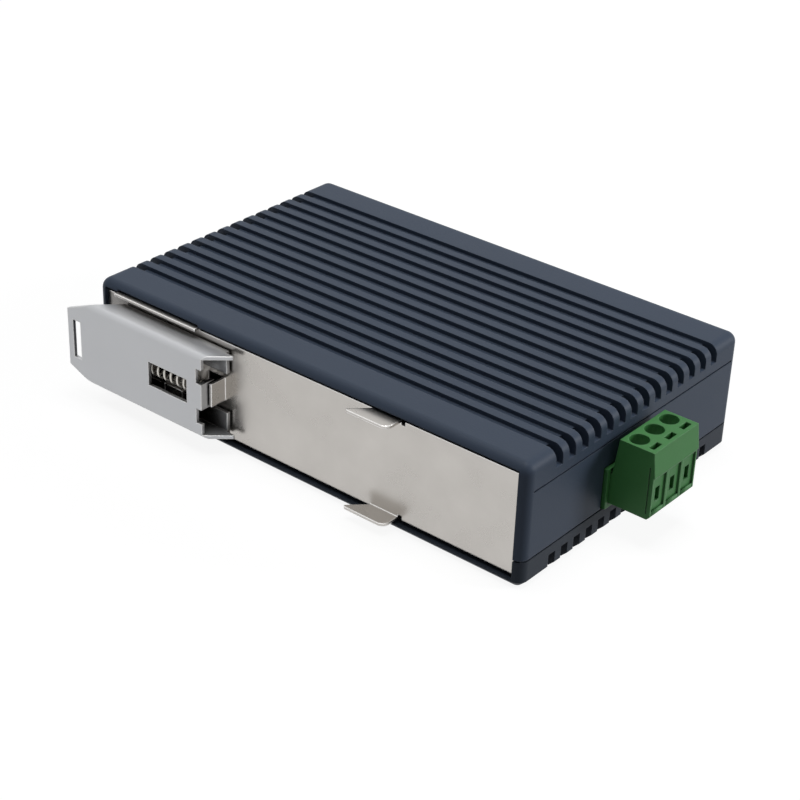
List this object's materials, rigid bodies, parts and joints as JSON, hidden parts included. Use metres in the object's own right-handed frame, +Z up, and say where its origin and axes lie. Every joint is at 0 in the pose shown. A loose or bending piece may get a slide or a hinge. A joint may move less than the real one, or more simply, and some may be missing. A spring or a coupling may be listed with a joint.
{
  "type": "din-rail network switch",
  "caption": "Slim finned network switch for a 35 mm rail, with a sprung latch slider, steel ears, a pluggable green supply terminal and modular jacks along its front.",
  "frame": {"origin": "on the rear plate's outer face, where the rail's centre line crosses the middle of the thickness", "axes": "+X along the case toward the power plug, +Y into the case toward the jacks, +Z up through the finned broad face as pictured"},
  "size_m": [0.1259, 0.0772, 0.0264],
  "materials": {
    "case_plastic": "dark slate, satin",
    "plate_steel": "bare, matt",
    "slider_steel": "bare, matt",
    "spring_steel": "drawn wire",
    "green_plastic": "satin",
    "tinned_brass": "tinned",
    "board_laminate": "solder mask",
    "screw_steel": "zinc plated",
    "gold_contact": "gold plated",
    "black_plastic": "matt",
    "can_metal": "satin",
    "shield_metal": "tinned",
    "lamp_lens": "diffuse lens"
  },
  "bodies": {
    "case": {"top_cover": "case_plastic", "bottom_cover": "case_plastic", "rear_plate": "plate_steel", "front_panel": "case_plastic", "latch_spring": "spring_steel", "terminal_header": "green_plastic", "header_pins": "tinned_brass", "board": "board_laminate", "case_screws": "screw_steel", "jack_contacts": "gold_contact", "switch_chip": "black_plastic", "magnetics": "black_plastic", "crystal": "can_metal", "capacitors": "can_metal", "inductor": "black_plastic", "lamp_holder": "black_plastic", "indicator_lamps": "lamp_lens", "jack_shield_1": "shield_metal", "jack_insert_1": "black_plastic", "jack_shield_2": "shield_metal", "jack_insert_2": "black_plastic", "jack_shield_3": "shield_metal", "jack_insert_3": "black_plastic", "jack_shield_4": "shield_metal", "jack_insert_4": "black_plastic", "jack_shield_5": "shield_metal", "jack_insert_5": "black_plastic"},
    "slider": {"latch_slider": "slider_steel"},
    "plug": {"terminal_plug": "green_plastic", "plug_contacts": "tinned_brass"},
    "screw_1": {"terminal_screw_1": "screw_steel"},
    "cage_1": {"clamp_cage_1": "tinned_brass"},
    "screw_2": {"terminal_screw_2": "screw_steel"},
    "cage_2": {"clamp_cage_2": "tinned_brass"},
    "screw_3": {"terminal_screw_3": "screw_steel"},
    "cage_3": {"clamp_cage_3": "tinned_brass"}
  },
  "joints": [
    {"name": "latch_slide", "type": "slide", "parent": "case", "child": "slider", "axis": [-1, 0, 0], "range_m": [0, 0.005], "stiffness_N_per_m": 900, "springref_m": -0.004, "deforming": ["latch_spring"]},
    {"name": "plug_pull", "type": "slide", "parent": "case", "child": "plug", "axis": [1, 0, 0], "range_m": [0, 0.009]},
    {"name": "clamp_cage_1_rise", "type": "slide", "parent": "plug", "child": "cage_1", "axis": [0, 0, 1], "range_m": [0, 0.0022]},
    {"name": "terminal_screw_1_turn", "type": "hinge", "parent": "plug", "child": "screw_1", "pos_m": [0.0596, 0.02812, 0.0038], "axis": [0, 0, -1], "range_deg": [0, 1765]},
    {"name": "clamp_cage_2_rise", "type": "slide", "parent": "plug", "child": "cage_2", "axis": [0, 0, 1], "range_m": [0, 0.0022]},
    {"name": "terminal_screw_2_turn", "type": "hinge", "parent": "plug", "child": "screw_2", "pos_m": [0.0596, 0.0332, 0.0038], "axis": [0, 0, -1], "range_deg": [0, 1765]},
    {"name": "clamp_cage_3_rise", "type": "slide", "parent": "plug", "child": "cage_3", "axis": [0, 0, 1], "range_m": [0, 0.0022]},
    {"name": "terminal_screw_3_turn", "type": "hinge", "parent": "plug", "child": "screw_3", "pos_m": [0.0596, 0.03828, 0.0038], "axis": [0, 0, -1], "range_deg": [0, 1765]}
  ],
  "couplings": [
    {"joint": "terminal_screw_1_turn", "follows": "clamp_cage_1_rise", "rad_per_m": 13963},
    {"joint": "terminal_screw_2_turn", "follows": "clamp_cage_2_rise", "rad_per_m": 13963},
    {"joint": "terminal_screw_3_turn", "follows": "clamp_cage_3_rise", "rad_per_m": 13963}
  ]
}
